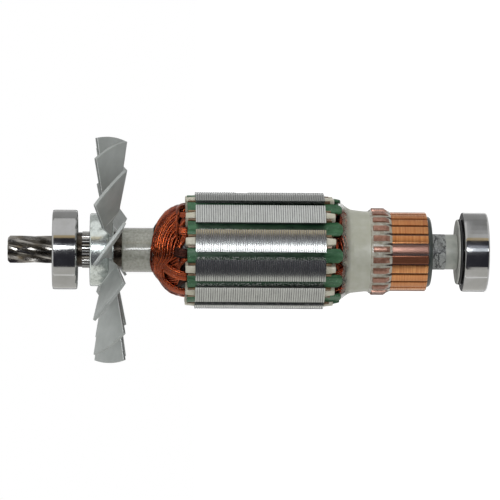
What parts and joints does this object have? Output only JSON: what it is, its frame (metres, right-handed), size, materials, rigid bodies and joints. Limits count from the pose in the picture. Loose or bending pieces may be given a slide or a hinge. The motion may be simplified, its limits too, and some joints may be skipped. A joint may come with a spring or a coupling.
{
  "type": "motor armature",
  "caption": "Wound rotor of a universal motor: commutator, laminated slotted core with green wedges, copper coils, cooling fan, helical pinion and sealed ball bearings.",
  "frame": {"origin": "centre of the rear (commutator-end) bearing's outer face, on which the armature stands", "axes": "+Z along the shaft towards the pinion; +X is the side turned up in the picture, and the camera looked along +Y"},
  "size_m": [0.0912, 0.0912, 0.193],
  "materials": {
    "shaft_steel": "dark oiled turned steel",
    "bearing_steel": "ground and polished",
    "cage_steel": "pressed steel",
    "seal_rubber": "matt black",
    "washer_grey": "satin grey",
    "insulation_grey": "satin grey, lightly resin-splashed",
    "moulding_dark": "dark phenolic",
    "commutator_copper": "turned bright copper",
    "winding_copper": "enamelled and varnished copper wire",
    "resin_clear": "milky clear resin",
    "core_steel": "ground lamination edges",
    "insulator_cream": "cream moulded insulation",
    "liner_paper": "varnished brown insulating paper",
    "wedge_green": "green, speckled with varnish",
    "hub_metal": "mottled grey casting",
    "fan_aluminium": "satin sheet"
  },
  "bodies": {
    "armature": {"shaft": "shaft_steel", "lip_ring": "seal_rubber", "dust_washer": "washer_grey", "shaft_insulation": "insulation_grey", "commutator_moulding": "moulding_dark", "resin_coat": "resin_clear", "armature_winding": "winding_copper", "core_stack": "core_steel", "end_insulator_rear": "insulator_cream", "end_insulator_front": "insulator_cream", "slot_liners": "liner_paper", "fan_hub": "hub_metal", "fan": "fan_aluminium", "commutator_bar_01": "commutator_copper", "commutator_bar_02": "commutator_copper", "commutator_bar_03": "commutator_copper", "commutator_bar_04": "commutator_copper", "commutator_bar_05": "commutator_copper", "commutator_bar_06": "commutator_copper", "commutator_bar_07": "commutator_copper", "commutator_bar_08": "commutator_copper", "commutator_bar_09": "commutator_copper", "commutator_bar_10": "commutator_copper", "commutator_bar_11": "commutator_copper", "commutator_bar_12": "commutator_copper", "commutator_bar_13": "commutator_copper", "commutator_bar_14": "commutator_copper", "commutator_bar_15": "commutator_copper", "commutator_bar_16": "commutator_copper", "commutator_bar_17": "commutator_copper", "commutator_bar_18": "commutator_copper", "commutator_bar_19": "commutator_copper", "commutator_bar_20": "commutator_copper", "commutator_bar_21": "commutator_copper", "commutator_bar_22": "commutator_copper", "commutator_bar_23": "commutator_copper", "commutator_bar_24": "commutator_copper", "slot_wedge_01": "wedge_green", "slot_wedge_02": "wedge_green", "slot_wedge_03": "wedge_green", "slot_wedge_04": "wedge_green", "slot_wedge_05": "wedge_green", "slot_wedge_06": "wedge_green", "slot_wedge_07": "wedge_green", "slot_wedge_08": "wedge_green", "slot_wedge_09": "wedge_green", "slot_wedge_10": "wedge_green", "slot_wedge_11": "wedge_green", "slot_wedge_12": "wedge_green", "rear_bearing_inner_ring": "bearing_steel", "front_bearing_inner_ring": "bearing_steel"},
    "rear_ring": {"rear_bearing_outer_ring": "bearing_steel", "rear_bearing_lower_seal": "seal_rubber", "rear_bearing_upper_seal": "seal_rubber"},
    "rear_cage": {"rear_bearing_cage": "cage_steel", "rear_bearing_balls": "bearing_steel"},
    "front_ring": {"front_bearing_outer_ring": "bearing_steel", "front_bearing_lower_seal": "seal_rubber", "front_bearing_upper_seal": "seal_rubber"},
    "front_cage": {"front_bearing_cage": "cage_steel", "front_bearing_balls": "bearing_steel"}
  },
  "joints": [
    {"name": "rear_bearing_spin", "type": "hinge", "parent": "armature", "child": "rear_ring", "pos_m": [0, 0, 0.005], "axis": [0, 0, 1], "continuous": true},
    {"name": "rear_cage_spin", "type": "hinge", "parent": "armature", "child": "rear_cage", "pos_m": [0, 0, 0.005], "axis": [0, 0, 1], "continuous": true},
    {"name": "front_bearing_spin", "type": "hinge", "parent": "armature", "child": "front_ring", "pos_m": [0, 0, 0.17], "axis": [0, 0, 1], "continuous": true},
    {"name": "front_cage_spin", "type": "hinge", "parent": "armature", "child": "front_cage", "pos_m": [0, 0, 0.17], "axis": [0, 0, 1], "continuous": true}
  ],
  "couplings": [
    {"joint": "rear_cage_spin", "follows": "rear_bearing_spin", "ratio": 0.6341},
    {"joint": "front_cage_spin", "follows": "front_bearing_spin", "ratio": 0.6341}
  ]
}
